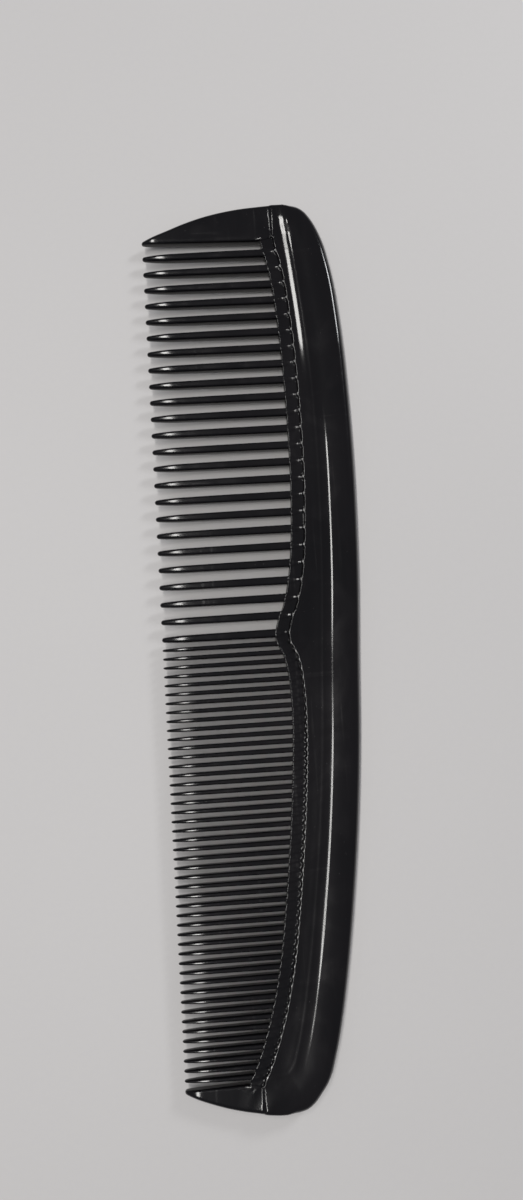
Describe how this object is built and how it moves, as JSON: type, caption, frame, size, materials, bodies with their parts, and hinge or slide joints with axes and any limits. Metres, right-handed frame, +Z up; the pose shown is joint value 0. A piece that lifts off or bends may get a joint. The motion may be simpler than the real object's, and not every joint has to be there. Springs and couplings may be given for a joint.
{
  "type": "dressing comb",
  "caption": "Flat plastic dressing comb with a curved rounded back, wide tapered teeth along one half and close tapered teeth along the other.",
  "frame": {"origin": "centre of the comb's footprint, on the flat strip of the back rail it rests on", "axes": "+Y along the comb towards the wide teeth, +X from the tooth tips towards the back, +Z up through its thickness"},
  "size_m": [0.0471, 0.2066, 0.005],
  "materials": {
    "black_plastic": "glossy moulded black plastic with fine handling scratches"
  },
  "bodies": {
    "root": {"back_rail": "black_plastic", "bed_close": "black_plastic", "bed_wide": "black_plastic", "close_teeth_01": "black_plastic", "close_teeth_02": "black_plastic", "close_teeth_03": "black_plastic", "close_teeth_04": "black_plastic", "close_teeth_05": "black_plastic", "close_teeth_06": "black_plastic", "close_teeth_07": "black_plastic", "close_teeth_08": "black_plastic", "close_teeth_09": "black_plastic", "close_teeth_10": "black_plastic", "close_teeth_11": "black_plastic", "close_teeth_12": "black_plastic", "close_teeth_13": "black_plastic", "close_teeth_14": "black_plastic", "close_teeth_15": "black_plastic", "close_teeth_16": "black_plastic", "close_teeth_17": "black_plastic", "close_teeth_18": "black_plastic", "close_teeth_19": "black_plastic", "close_teeth_20": "black_plastic", "close_teeth_21": "black_plastic", "close_teeth_22": "black_plastic", "close_teeth_23": "black_plastic", "close_teeth_24": "black_plastic", "guard_close": "black_plastic", "guard_wide": "black_plastic", "wide_tooth_01": "black_plastic", "wide_tooth_02": "black_plastic", "wide_tooth_03": "black_plastic", "wide_tooth_04": "black_plastic", "wide_tooth_05": "black_plastic", "wide_tooth_06": "black_plastic", "wide_tooth_07": "black_plastic", "wide_tooth_08": "black_plastic", "wide_tooth_09": "black_plastic", "wide_tooth_10": "black_plastic", "wide_tooth_11": "black_plastic", "wide_tooth_12": "black_plastic", "wide_tooth_13": "black_plastic", "wide_tooth_14": "black_plastic", "wide_tooth_15": "black_plastic", "wide_tooth_16": "black_plastic", "wide_tooth_17": "black_plastic", "wide_tooth_18": "black_plastic", "wide_tooth_19": "black_plastic", "wide_tooth_20": "black_plastic", "wide_tooth_21": "black_plastic", "wide_tooth_22": "black_plastic", "wide_tooth_23": "black_plastic", "wide_tooth_24": "black_plastic"}
  },
  "joints": []
}
